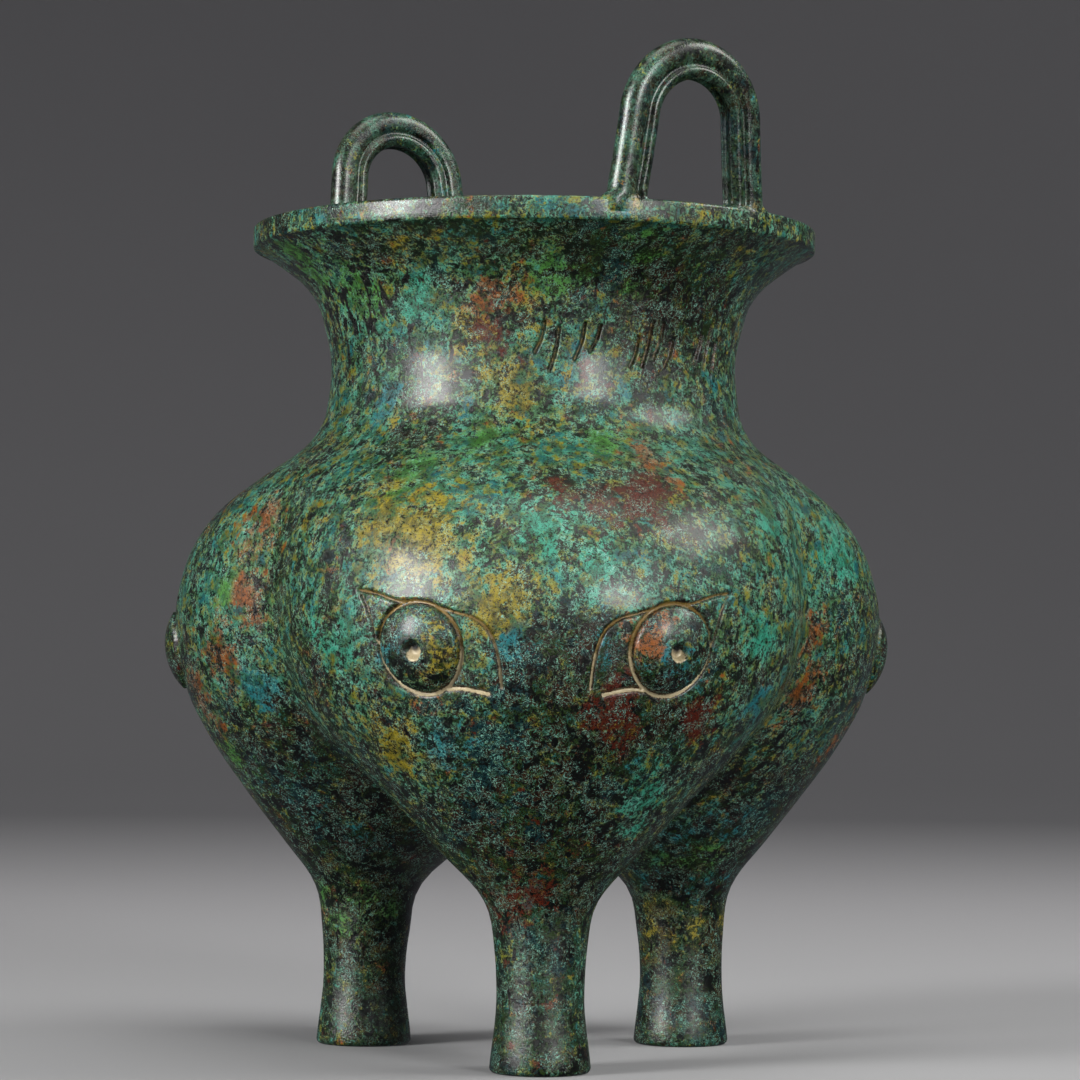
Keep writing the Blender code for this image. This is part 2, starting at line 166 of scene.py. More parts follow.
def innerSkin(outer):
    z, offset, radius = outer["z"], outer["offset"], outer["radius"]
    outerWall = body["wall"] * np.hypot(1, np.gradient(offset + radius, z))
    innerWall = body["wall"] * np.hypot(1, np.gradient(offset - radius, z))
    innerWall = np.where(offset > 0, innerWall, outerWall)
    narrower = np.maximum(radius - (outerWall + innerWall) / 2, 0)
    roundTop = body["hollowFloor"] + body["hollowRound"]
    depth = np.clip((roundTop - z) / body["hollowRound"], 0, 1)
    inside = z > body["hollowFloor"]
    centre = offset + (innerWall - outerWall) / 2
    return makeSkin(z[inside], centre[inside], (narrower * np.sqrt(1 - depth**2))[inside], roundTop)


def rowOf(skin, z, columns):  # points across a pouch that faces +X, with both ends in the folds
    offset, radius = circleAt(skin, z)
    end, endHeight = math.pi, z
    if z >= skin["low"]:
        end = pouchHalf + math.asin(min(1, math.sin(pouchHalf) * offset / radius))
    elif z > skin["ring"]:
        share = (skin["low"] - z) / (skin["low"] - skin["ring"])
        end = pouchHalf + math.pi / 2 + share * (math.pi / 2 - pouchHalf)
        endHeight = heightWhere(skin, math.sin(end - pouchHalf) / math.sin(pouchHalf))
    else:
        share = max(0, (z - skin["level"]) / (skin["ring"] - skin["level"]))
        endHeight = z + share * (skin["apex"] - skin["ring"])
    angles = np.linspace(-end, end, columns + 1)
    warpFrom = math.radians(100)
    warp = np.clip((abs(angles) - warpFrom) / max(end - warpFrom, 1e-5), 0, 1)
    heights = z + (endHeight - z) * warp * warp * (3 - 2 * warp)
    offset, radius = circleAt(skin, heights)
    across = np.stack([offset + radius * np.cos(angles), radius * np.sin(angles), heights], axis=1)
    if z >= skin["ring"]:
        reach = math.hypot(*across[0, :2])
        across[0, :2] = reach * math.cos(pouchHalf), -reach * math.sin(pouchHalf)
        across[-1, :2] = reach * math.cos(pouchHalf), reach * math.sin(pouchHalf)
    return across


def flatRing(middle, radius, z, angles):  # level points round a leg or the mouth
    across = [middle + radius * np.cos(angles), radius * np.sin(angles), np.full_like(angles, z)]
    return np.stack(across, axis=1)


def heightsBetween(skin, low, high, step):  # equal steps along the pouch's crest
    at = np.linspace(low, high, 800)
    offset, radius = circleAt(skin, at)
    length = np.concatenate([[0], np.cumsum(np.hypot(np.diff(offset + radius), np.diff(at)))])
    return np.interp(np.linspace(0, length[-1], 1 + round(length[-1] / step)), length, at)


def layGrid(form, rows, place):
    points = np.array(rows)
    grid = bmesh.ops.create_grid(form, x_segments=points.shape[1] - 1, y_segments=points.shape[0] - 1, size=1)
    for vert, point in zip(grid["verts"], points.reshape(-1, 3)):
        vert.co = place @ Vector(point)


def closeUp(form):  # welds seams and poles, fills what is open and turns the faces outwards
    bmesh.ops.remove_doubles(form, verts=form.verts, dist=body["weld"])
    bmesh.ops.holes_fill(form, edges=[edge for edge in form.edges if edge.is_boundary], sides=0)
    bmesh.ops.recalc_face_normals(form, faces=form.faces)


def outerRows(outer, columns):
    foot, edge = body["footRadius"], body["footEdge"]
    sole = [(foot * share, 0) for share in (0.35, 0.7)]
    for turn in np.radians((0, 30, 60)):
        sole.append((foot - edge * (1 - math.sin(turn)), edge * (1 - math.cos(turn))))
    angles = np.linspace(-math.pi, math.pi, columns + 1)
    rows = [flatRing(body["legOffset"], radius, z, angles) for radius, z in sole]
    heights = [
        *heightsBetween(outer, edge, outer["ring"], body["legStep"]),
        *np.linspace(outer["ring"], outer["low"], 4)[1:-1],
        *heightsBetween(outer, outer["low"], lipBase - 0.0004, body["bellyStep"]),
    ]
    return rows + [rowOf(outer, z, columns) for z in heights]


def lipRows(columns):  # round the lip: its outer corner, its face, its flat top and the mouth's corner
    rim, mouth, edge = body["rimRadius"], body["rimRadius"] - body["rimLand"], body["rimEdge"]
    under = rim - body["lipStep"]
    line = [(under + 0.0003, lipBase + 0.0001), (rim - 0.0004, lipBase), (rim - 0.0001, lipBase + 0.0002)]
    line += [(rim, z) for z in np.linspace(lipBase + 0.0006, rimHeight - edge, 4)]
    for turn in np.radians((30, 60, 90)):
        line.append((rim - edge * (1 - math.cos(turn)), rimHeight - edge * (1 - math.sin(turn))))
    line += [(radius, rimHeight) for radius in np.linspace(rim - edge, mouth + edge, 4)[1:]]
    for turn in np.radians((60, 30, 0)):
        line.append((mouth + edge * (1 - math.cos(turn)), rimHeight - edge * (1 - math.sin(turn))))
    angles = np.linspace(-pouchHalf, pouchHalf, columns + 1)
    return [flatRing(0, radius, z, angles) for radius, z in line]


def innerRows(inner, columns):
    heights = [
        *heightsBetween(inner, inner["low"], lipBase - 0.0015, body["innerStep"])[::-1],
        *np.linspace(inner["low"], inner["ring"], 3)[1:-1],
        *heightsBetween(inner, inner["level"], inner["ring"], body["innerLegStep"])[::-1],
    ]
    for turn in np.radians((72, 54, 36, 18)):
        heights.append(body["hollowFloor"] + body["hollowRound"] * (1 - math.cos(turn)))
    return [rowOf(inner, z, columns) for z in heights]


def pouchSheets(rows):  # the same rows on each pouch, welded along the folds
    form = bmesh.new()
    for turn in pouchTurns:
        layGrid(form, rows, Matrix.Rotation(turn, 4, "Z"))
    bmesh.ops.remove_doubles(form, verts=form.verts, dist=body["weld"])
    return form


def makeShell(outer, inner):
    # The outside and the lip are fine, the inside is coarser, and a band of triangles joins them in the mouth
    shell = pouchSheets(outerRows(outer, body["columns"]) + lipRows(body["columns"]))
    hollow = pouchSheets(innerRows(inner, body["innerColumns"]))
    mesh = bpy.data.meshes.new("hollow")
    hollow.to_mesh(mesh)
    hollow.free()
    shell.from_mesh(mesh)
    bpy.data.meshes.remove(mesh)
    rims = [edge for edge in shell.edges if edge.is_boundary and edge.verts[0].co.z > neckHeight]
    bmesh.ops.bridge_loops(shell, edges=rims)
    closeUp(shell)
    return shell


def fromPouch(points, offset, turn):  # each point from the middle of a pouch's circle, X towards the crest
    along = points[:, 0] * math.cos(turn) + points[:, 1] * math.sin(turn) - offset
    return along, points[:, 1] * math.cos(turn) - points[:, 0] * math.sin(turn)


def gapsTo(skin, points):  # how far outside each pouch a point is, and the pouches' offset there
    offset, radius = circleAt(skin, points[:, 2])
    offsetSlope = np.interp(points[:, 2], skin["z"], skin["offsetSlope"])
    radiusSlope = np.interp(points[:, 2], skin["z"], skin["radiusSlope"])
    gaps = []
    for turn in pouchTurns:
        along, aside = fromPouch(points, offset, turn)
        reach = np.maximum(np.hypot(along, aside), 1e-6)
        gaps.append((reach - radius) / np.hypot(1, radiusSlope + offsetSlope * along / reach))
    return np.array(gaps), offset


def softGap(skin, points):  # the same to all three together, with the folds between them filled softly
    gaps, offset = gapsTo(skin, points)
    soft = np.maximum(body["foldFillet"] * np.clip(offset / body["foldFades"], 0, 1) ** 2, 1e-6)
    return -soft * np.logaddexp.reduce(-gaps / soft, axis=0)


def outwards(skin, points):  # the way out of the skin at each point
    step = 2e-5
    rise = [softGap(skin, points + step * axis) - softGap(skin, points - step * axis) for axis in np.eye(3)]
    slope = np.stack(rise, axis=1) / (2 * step)
    return slope / np.linalg.norm(slope, axis=1, keepdims=True) ** 2


def settle(skin, points, rounds=4):
    for _ in range(rounds):
        points = points - softGap(skin, points)[:, None] * outwards(skin, points)
    return points


def readPoints(verts):
    return np.array([vert.co for vert in verts])


def writePoints(verts, points):
    for vert, point in zip(verts, points):
        vert.co = point


def onSkin(skin, form, low, high, near):  # the vertices that lie on this skin
    verts = [vert for vert in form.verts if low < vert.co.z < high]
    return [vert for vert, gap in zip(verts, softGap(skin, readPoints(verts))) if abs(gap) < near]


def settleForm(form, skin):  # puts what was laid or cut finer back on the skin
    verts = onSkin(skin, form, body["footEdge"] * 1.5, skinTop, 0.0016)
    writePoints(verts, settle(skin, readPoints(verts)))


def foldGap(skin, points):  # how near a point is to a fold, as the difference between the two nearest pouches
    gaps = np.sort(gapsTo(skin, points)[0], axis=0)
    return gaps[1] - gaps[0]


def relaxFolds(form, skin, near, rounds):  # evens out the faces in the folds and the crotch
    verts = onSkin(skin, form, skin["ring"] - 0.004, neckHeight, near)
    narrow = foldGap(skin, readPoints(verts)) < 0.0050
    inFold = [vert for vert, chosen in zip(verts, narrow) if chosen]
    for _ in range(rounds):
        bmesh.ops.smooth_vert(form, verts=inFold, factor=0.5, use_axis_x=True, use_axis_y=True, use_axis_z=True)
        writePoints(inFold, settle(skin, readPoints(inFold)))


# Two eyes on each pouch: a boss with a pit, in a carved outline
eyes = {
    "drop": 0.0085,
    "angle": math.radians(27.7),
    "turn": math.radians(-2.0),
    "bossRadius": 0.0078,
    "bossRise": 0.0028,
    "bossEdge": 0.0006,
    "pitRadius": 0.0018,
    "pitDepth": 0.0016,
    "lineWidth": 0.0013,
    "lineDepth": 0.00075,
    "lidStep": 0.0012,
    "box": ((-0.0150, 0.0180), (-0.0115, 0.0130)),
    # lids in radii of the ring from the boss's middle, +X towards the pouch's crest
    "lids": {
        "upper": ((-1.47, 1.25), (-1.10, 1.20), (-0.78, 1.11), (-0.42, 1.00), (0.05, 1.02), (0.48, 0.89),
                  (0.86, 0.77), (1.32, 0.63), (1.60, 0.40), (1.74, 0.08), (1.82, -0.36), (1.84, -0.84)),
        "lower": ((0.56, -0.88), (0.86, -0.86), (1.20, -0.91), (1.52, -0.98)),
        "outer": ((-1.40, 1.15), (-1.25, 0.85), (-1.15, 0.52), (-1.09, 0.20), (-0.99, -0.02)),
    },
    "lidWidths": {"upper": 0.75, "lower": 0.95, "outer": 0.6},  # shares of the line's width
}
ringRadius = eyes["bossRadius"] + eyes["lineWidth"] / 2
eyeHeight = body["bellyHeight"] - eyes["drop"]


def inBox(u, v, box):
    (left, right), (low, high) = box
    return (u > left) & (u < right) & (v > low) & (v < high)


def eyePlaces(skin, points):  # (mask, u, v) for each of the six eyes, with u towards the crest and v up
    radiusThere = circleAt(skin, eyeHeight)[1]
    offset = circleAt(skin, points[:, 2])[0]
    for turn in pouchTurns:
        along, aside = fromPouch(points, offset, turn)
        angle = np.arctan2(aside, along)
        for side in (-1, 1):
            u = radiusThere * (eyes["angle"] - side * (angle - eyes["turn"]))
            v = points[:, 2] - eyeHeight
            yield inBox(u, v, eyes["box"]), u, v


def lineDistance(u, v, line):
    ends = np.stack([line[:-1], line[1:]], axis=1)
    best = np.full(u.shape, 1.0)
    for (x0, y0), (x1, y1) in ends:
        dx, dy = x1 - x0, y1 - y0
        t = np.clip(((u - x0) * dx + (v - y0) * dy) / (dx * dx + dy * dy), 0, 1)
        best = np.minimum(best, np.hypot(u - x0 - t * dx, v - y0 - t * dy))
    return best


def carving(distance, width):  # 1 at a line's middle and 0 at its edges
    return np.clip(1 - (distance / (width / 2)) ** 2, 0, 1)


def lidDistance(u, v, name, step):
    return lineDistance(u, v, evenly(ringRadius * np.array(eyes["lids"][name]), step))


def eyeLines(u, v):
    cut = carving(abs(np.hypot(u, v) - ringRadius), eyes["lineWidth"])
    for name, width in eyes["lidWidths"].items():
        there = carving(lidDistance(u, v, name, eyes["lidStep"]), eyes["lineWidth"] * width)
        cut = np.maximum(cut, there * min(1, 0.2 + width))
    return cut


def eyeDistance(u, v):  # to the nearest line, roughly
    best = abs(np.hypot(u, v) - ringRadius)
    for name in eyes["lids"]:
        best = np.minimum(best, lidDistance(u, v, name, 2 * eyes["lidStep"]))
    return best


def bossHeight(u, v):
    dome = eyes["bossRise"] - eyes["bossEdge"]
    sphere = (eyes["bossRadius"] ** 2 + dome**2) / (2 * dome)
    reach = np.hypot(u, v)
    height = np.sqrt(np.maximum(sphere**2 - reach**2, 0)) - sphere + dome + eyes["bossEdge"]
    pit = np.clip(1 - (reach / eyes["pitRadius"]) ** 4, 0, 1) * eyes["pitDepth"]
    return np.where(reach < eyes["bossRadius"], height - pit, 0)


# Shallow strokes round the neck where the old inscription was. They say nothing.
strokes = {
    "from": math.radians(3),  # right of the view
    "height": 0.1378,
    "width": 0.0011,
    "depth": 0.00070,
    "step": 0.0010,
    "places": (-0.0006, 0.0022, 0.0072, 0.0103, 0.0186, 0.0213, 0.0240, 0.0268, 0.0350, 0.0379, 0.0407),
    "lengths": (0.0056, 0.0082, 0.0066, 0.0048),  # in turn
    "rises": (0.0010, -0.0012, 0.0003),  # in turn
    "lean": 0.0009,
    "bow": 0.0004,
    "box": ((-0.0070, 0.0440), (-0.0090, 0.0090)),
}
viewAngle = math.radians(146.5)  # the camera stands this way from the mouth's axis


def strokePlace(points):  # how far round the neck and how far up from where the strokes start
    half = math.pi * body["neckRadius"]
    u = body["neckRadius"] * (np.arctan2(points[:, 1], points[:, 0]) - viewAngle - strokes["from"])
    return (u + half) % (2 * half) - half, points[:, 2] - strokes["height"]


def strokeDistance(u, v, step):
    best = np.full(u.shape, 1.0)
    for i, place in enumerate(strokes["places"]):
        half = strokes["lengths"][i % len(strokes["lengths"])] / 2
        rise = strokes["rises"][i % len(strokes["rises"])]
        mark = [(place + strokes["lean"] * t - strokes["bow"] * t * t, rise + half * t) for t in (1, 0, -1)]
        best = np.minimum(best, lineDistance(u, v, evenly(mark, step)))
    return best


def strokeLines(points):
    u, v = strokePlace(points)
    near = inBox(u, v, strokes["box"])
    cut = np.zeros(len(points))
    cut[near] = carving(strokeDistance(u[near], v[near], strokes["step"]), strokes["width"])
    return cut


def refine(form, skin):  # finer faces round the eyes and the strokes, then again along their lines
    def level(points, reach):
        wanted = np.zeros(len(points), bool)
        for inside, u, v in eyePlaces(skin, points):
            if reach is not None:
                inside = inside & ((eyeDistance(u, v) < reach) | (np.hypot(u, v) < eyes["pitRadius"] + reach))
            wanted |= inside
        u, v = strokePlace(points)
        near = inBox(u, v, strokes["box"])
        if reach is not None:
            near = near & (strokeDistance(u, v, 2 * strokes["step"]) < reach)
        return (wanted | near) & (abs(softGap(skin, points)) < 0.0008)

    for reach, cuts in ((None, 3), (0.0011, 1)):
        verts = list(form.verts)
        chosen = dict(zip(verts, level(readPoints(verts), reach)))
        edges = [edge for edge in form.edges if all(chosen[vert] for vert in edge.verts)]
        bmesh.ops.subdivide_edges(form, edges=edges, cuts=cuts, use_grid_fill=True)
        settleForm(form, skin)


def carve(form, skin):
    verts = onSkin(skin, form, 0.0600, skinTop, 0.0004)
    points = readPoints(verts)
    lift = np.zeros(len(points))
    for inside, u, v in eyePlaces(skin, points):
        lift = np.where(inside, bossHeight(u, v) - eyes["lineDepth"] * eyeLines(u, v), lift)
    lift -= strokes["depth"] * strokeLines(points)
    writePoints(verts, points + lift[:, None] * outwards(skin, points))


def waviness(point):
    broad = noise.noise(point * 62)
    close = noise.noise(point * 190 + Vector((7, 3, 5)))
    return -body["inset"] - body["unevenness"] * (0.95 + 0.55 * broad + 0.25 * close)


def makeUneven(form, skin):  # as a cast surface is, fading out at the soles and under the lip
    verts = onSkin(skin, form, 0.0040, skinTop, 0.0050)
    points = readPoints(verts)
    lift = np.array([waviness(vert.co) for vert in verts])
    fade = np.clip((points[:, 2] - 0.004) / 0.008, 0, 1) * np.clip((lipBase - points[:, 2]) / 0.006, 0, 1)
    writePoints(verts, points + (lift * fade)[:, None] * outwards(skin, points))


# Loops of a moulded bar that stand on the rim
handles = {
    "count": 2,
    "rise": 0.0314,
    "width": 0.0318,
    "splay": 0.0017,
    "lean": math.radians(5.5),
    "root": 0.0022,
    "bar": 0.0078,
    "setback": 0.0003,
    "bead": 0.0013,
    "groove": 0.0007,
    "fillet": 0.0014,
    "sectionStep": 0.00040,
    "pathStep": 0.0011,
    # the groove and the bead along the bar's face: how far out in beads, how deep in grooves
    "moulding": ((2.9, 0), (2.3, 0.25), (1.9, 1), (1.5, 0.9), (1.1, 0.1), (0.6, 0), (0.2, 0.35), (0, 0.9)),
}
archRadius = (handles["width"] - handles["bar"]) / 2
handleFoot = archRadius + handles["splay"]


def barSection():  # from the outer roll over a groove and a bead to a channelled inner face
    half, deep = handles["bar"] / 2, body["rimLand"] / 2 - handles["setback"]
    groove, bead = handles["groove"], handles["bead"]
    turns = np.linspace(0, math.pi / 2, 7)
    face = [(half - deep * (1 - math.cos(turn)), deep * math.sin(turn)) for turn in turns]
    edge = 0.5 * bead - half  # where the bead ends
    face += [(edge + out * bead, deep - down * groove) for out, down in handles["moulding"]]
    face += [(-half + 0.0002, deep - 1.4 * groove), (-half, deep - 2.0 * groove)]
    face += [(-half + 0.0005, deep - 2.6 * groove), (-half + 0.0006, 0)]
    return evenly(face[::-1] + [(x, -y) for x, y in face[1:]], handles["sectionStep"])


def makeHandle(turn):
    spring = handles["rise"] - handles["bar"] / 2 - archRadius
    leg = [(-handleFoot, -handles["root"]), (-handleFoot, 0), (-(handleFoot + archRadius) / 2, spring / 2)]
    angles = np.linspace(math.pi, 0, 16)
    arch = [(archRadius * math.cos(angle), spring + archRadius * math.sin(angle)) for angle in angles]
    path = evenly(leg + arch + [(-x, y) for x, y in reversed(leg)], handles["pathStep"])
    stand = math.sqrt((body["rimRadius"] - body["rimLand"] / 2) ** 2 - handleFoot**2)
    place = (
        Matrix.Rotation(turn, 4, "Z")
        @ Matrix.Translation((stand, 0, rimHeight))
        @ Matrix.Rotation(handles["lean"], 4, "Y")
        @ Matrix.Rotation(math.radians(90), 4, "Z")
        @ Matrix.Rotation(math.radians(90), 4, "X")
    )
    section = barSection()
    rows = []
    for i, (x, y) in enumerate(path):
        along = path[min(i + 1, len(path) - 1)] - path[max(i - 1, 0)]
        along = along / np.hypot(*along)
        out = np.array((-along[1], along[0]))
        close = handles["fillet"] - np.clip(y, 0, handles["fillet"])
        flare = handles["fillet"] - math.sqrt(handles["fillet"] ** 2 - close**2)
        spread = section[:, 0] + np.sign(section[:, 0]) * flare
        rows.append(np.stack([x + out[0] * spread, y + out[1] * spread, section[:, 1]], axis=1))
    form = bmesh.new()
    layGrid(form, rows, place)
    closeUp(form)
    return form


def objectOf(name, form):
    mesh = bpy.data.meshes.new(name)
    form.to_mesh(mesh)
    form.free()
    item = bpy.data.objects.new(name, mesh)
    bpy.context.scene.collection.objects.link(item)
    return item


def unite(item, others):  # one closed skin out of the item and the forms that stand on it
    for other in others:
        modifier = item.modifiers.new(other.name, "BOOLEAN")
        modifier.object = other
        modifier.operation = "UNION"
        modifier.solver = "MANIFOLD"
    whole = bpy.data.meshes.new_from_object(item.evaluated_get(bpy.context.evaluated_depsgraph_get()))
    item.modifiers.clear()
    item.data = whole
    for other in others:
        bpy.data.objects.remove(other)


def makeVessel():
    outer = outerSkin()
    inner = innerSkin(outer)
    shell = makeShell(outer, inner)
    print("shell laid:", len(shell.faces), "faces")
    settleForm(shell, outer)
    relaxFolds(shell, outer, body["foldReach"], 3)
    inside = onSkin(inner, shell, inner["level"], neckHeight, body["innerFoldReach"])
    writePoints(inside, settle(inner, readPoints(inside)))
    relaxFolds(shell, inner, body["innerFoldReach"], 12)
    refine(shell, outer)
    carve(shell, outer)
    makeUneven(shell, outer)
    bmesh.ops.recalc_face_normals(shell, faces=shell.faces)
    print("eyes and strokes carved:", len(shell.faces), "faces")
    vessel = objectOf("bronze_vessel", shell)
    turns = [2 * math.pi * i / handles["count"] for i in range(handles["count"])]
    unite(vessel, [objectOf("handle", makeHandle(turn)) for turn in turns])
    vessel.data.transform(Matrix.Translation((mouthAxis.x, mouthAxis.y, 0)))
    print("handles joined:", sum(len(face.vertices) - 2 for face in vessel.data.polygons), "triangles")
    return vessel, outer


vessel, outer = makeVessel()
vessel.data.shade_smooth()
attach(vessel, "root")
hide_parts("vessel")


def linear(shade):  # "#rrggbb" as it looks on a screen, to the shader's own numbers
    parts = [int(shade[i:i + 2], 16) / 255 for i in (1, 3, 5)]
    return (*[x / 12.92 if x <= 0.04045 else ((x + 0.055) / 1.055) ** 2.4 for x in parts], 1)


def add(tree, kind, settings, inputs, output=0):
    node = tree.nodes.new("ShaderNode" + kind)
    for name, value in settings.items():
        setattr(node, name, value)
    for name, value in inputs.items():
        if isinstance(value, bpy.types.NodeSocket):
            tree.links.new(value, node.inputs[name])
        else:
            node.inputs[name].default_value = value
    return node.outputs[output]


def newMaterial(name):
    material = bpy.data.materials.new(name)
    material.use_nodes = True
    return material, material.node_tree, material.node_tree.nodes["Principled BSDF"]


# Cast bronze with a patina from long burial, rubbed back here and there and waxed. The eye gets a dark skin with a
# soft gloss, and on it speckled crusts that are duller, green to blue with stains of ochre, rust and red.
bronze = {
    "colours": {
        "black": "#080b09",
        "brown": "#301b0a",
        "blue": "#0a2b2e",
        "moss": "#1e300c",
        "red": "#4a1706",
        "turquoise": "#2f8c74",
        "green": "#467f36",
        "teal": "#0b6a72",
        "olive": "#6c6e14",
        "grey": "#4a7a6a",
        "pale": "#76ae9e",
        "ochre": "#85780e",
        "rust": "#80460a",
        "cream": "#b3a583",
        "tan": "#77602c",
        "thin": "#8a947f",  # what thin growth lets through
    },
    # size in mm, shift, detail, roughness and distortion of each pattern
    "patterns": {
        "region": (18.0, 0.3, 2, 0.5, 0),
        "region2": (14.4, 1.7, 2, 0.5, 0),
        "patch": (5.0, 2.9, 4, 0.65, 0.3),
        "patch2": (3.5, 4.1, 4, 0.65, 0.3),
        "patch3": (3.0, 8.3, 4, 0.65, 0.3),
        "blotch": (1.7, 0.9, 5, 0.72, 0.6),
        "blotch2": (1.36, 3.7, 5, 0.72, 0.6),
        "worm": (0.95, 5.3, 2, 0.5, 1.4),
        "fleck": (0.50, 6.1, 3, 0.7, 0),
        "grain": (0.24, 7.7, 2, 0.6, 0),
    },
    "drip": 2.0,  # width in mm
    "dripStretch": 0.36,
    "stray": 0.0038,  # how far a patch's edge wanders
    "seed": 1,  # without one the edges would wander differently on every run
    # how much has grown at each height in mm, against the middle of the belly; darker towards the bottom and just
    # under the lip
    # less growth low down is darker patina and painted shade together on the lower belly and the legs; the dip just
    # under the lip is painted shade under the flare
    "growth": ((0, -0.7), (20, -0.6), (50, -0.5), (75, -0.2), (95, 0.05), (110, 0.1), (122, 0.2), (134, 0),
               (146, 0), (156, -0.3), (160, -0.1)),
    # broad patches: how far round from the camera (degrees, the picture's right is minus), then height and
    # reach (mm)
    "patches": {
        "ochre": ((14, 79, 5), (17, 100, 11), (25, 104, 8), (4, 87, 9), (7, 131, 8), (17, 141, 5), (23, 62, 7),
                  (-52, 157, 4), (-117, 24, 6), (110, 80, 9), (150, 110, 7), (-150, 60, 8)),
        "rust": ((-16.5, 83, 6), (62, 104, 7), (64, 89, 7), (73, 78, 8), (85, 70, 6), (-65, 84, 5), (-68, 72, 6),
                 (-93, 61, 5), (11, 147, 5), (-24, 114, 5), (-175, 90, 8), (130, 60, 7)),
        "green": ((67, 91, 6), (87, 58, 8), (50, 149, 8), (67, 155, 8), (-15, 118, 4), (12, 119, 4), (-25, 153, 7),
                  (-50, 153, 6), (101, 29, 6), (-96, 38, 5), (24, 111, 5), (-6, 151, 6), (170, 118, 10),
                  (-130, 150, 9), (-110, 100, 9), (140, 95, 9)),
        "turquoise": ((-10, 94, 6), (-1, 103, 6), (-46, 104, 7), (-75, 98, 8), (33, 81, 7), (-20, 52, 7),
                      (31, 146, 5), (-38, 82, 6), (-150, 105, 8), (160, 80, 8), (120, 145, 8)),
        "teal": ((20, 79, 6), (-21, 76, 6), (14, 62, 6), (82, 50, 6), (64, 72, 6), (84, 43, 5), (-42, 70, 7),
                 (-88, 46, 7), (-107, 34, 6), (2, 81, 6), (-10, 81, 6), (44, 129, 5), (-140, 80, 8), (175, 60, 8),
                 (100, 110, 7)),
        "red": ((-11, 106, 4), (-19, 107, 6), (-12, 68, 5), (-14, 132, 3), (12, 140, 4), (-28, 67, 4), (-4, 109, 3),
                (2, 33, 5), (-160, 120, 6), (125, 100, 6), (-120, 70, 6)),
        # the dark patches under the flare on the picture's right are painted shade, those low on the belly and on
        # the legs are painted shade and darker patina together, and the rest are darker patina
        "dark": ((-48, 150, 9), (-28, 150, 7), (-12, 155, 6), (2, 50, 11), (-6, 39, 9), (-10, 78, 7), (1, 70, 8),
                 (-47, 149, 6), (60, 56, 7), (-17, 67, 7), (-4, 81, 6), (-170, 45, 9), (115, 40, 9), (-125, 50, 9),
                 (-105, 30, 8), (-98, 50, 8), (-112, 14, 7), (78, 52, 8), (90, 40, 7)),
    },
}
colours = {name: linear(shade) for name, shade in bronze["colours"].items()}


def writeAttribute(name, values):
    kind, key = ("FLOAT", "value") if values.ndim == 1 else ("FLOAT_COLOR", "color")
    layer = vessel.data.attributes.new(name, kind, "POINT")
    layer.data.foreach_set(key, values.astype(np.float32).ravel())


def roundFrom(points, turn):  # degrees round from the camera, counted from a turn to its right
    return (np.degrees(np.arctan2(points[:, 1], points[:, 0]) - viewAngle) + turn + 180) % 360 - 180


def markPatches(points, outside):
    noise.seed_set(bronze["seed"])
    reach = np.hypot(points[:, 0], points[:, 1])
    stray = [noise.noise_vector(Vector(at) * 170) + 0.5 * noise.noise_vector(Vector(at) * 420) for at in points]
    astray = points + bronze["stray"] * np.array(stray)
    tint = np.tile(colours["green"], (len(points), 1))
    total, coverAndShade, red = np.zeros((3, len(points)))
    for name, places in bronze["patches"].items():
        for turn, height, size in places:
            aside = np.radians(roundFrom(astray, turn)) * reach * 1000
            there = np.exp(-(aside**2 + (astray[:, 2] * 1000 - height) ** 2) / size**2) * outside
            # red and dark patches take growth away; the dark ones under the flare, low on the belly and on the legs
            # also paint shade
            if name in ("red", "dark"):
                coverAndShade = coverAndShade - there
                red = np.maximum(red, there * (name == "red"))
            else:
                tint[there > total] = colours[name]
                total = np.maximum(total, there)
                coverAndShade = coverAndShade + there * 0.5
    writeAttribute("tint", tint)
    writeAttribute("tinted", np.clip(total, 0, 1))
    writeAttribute("red", red)
    return coverAndShade


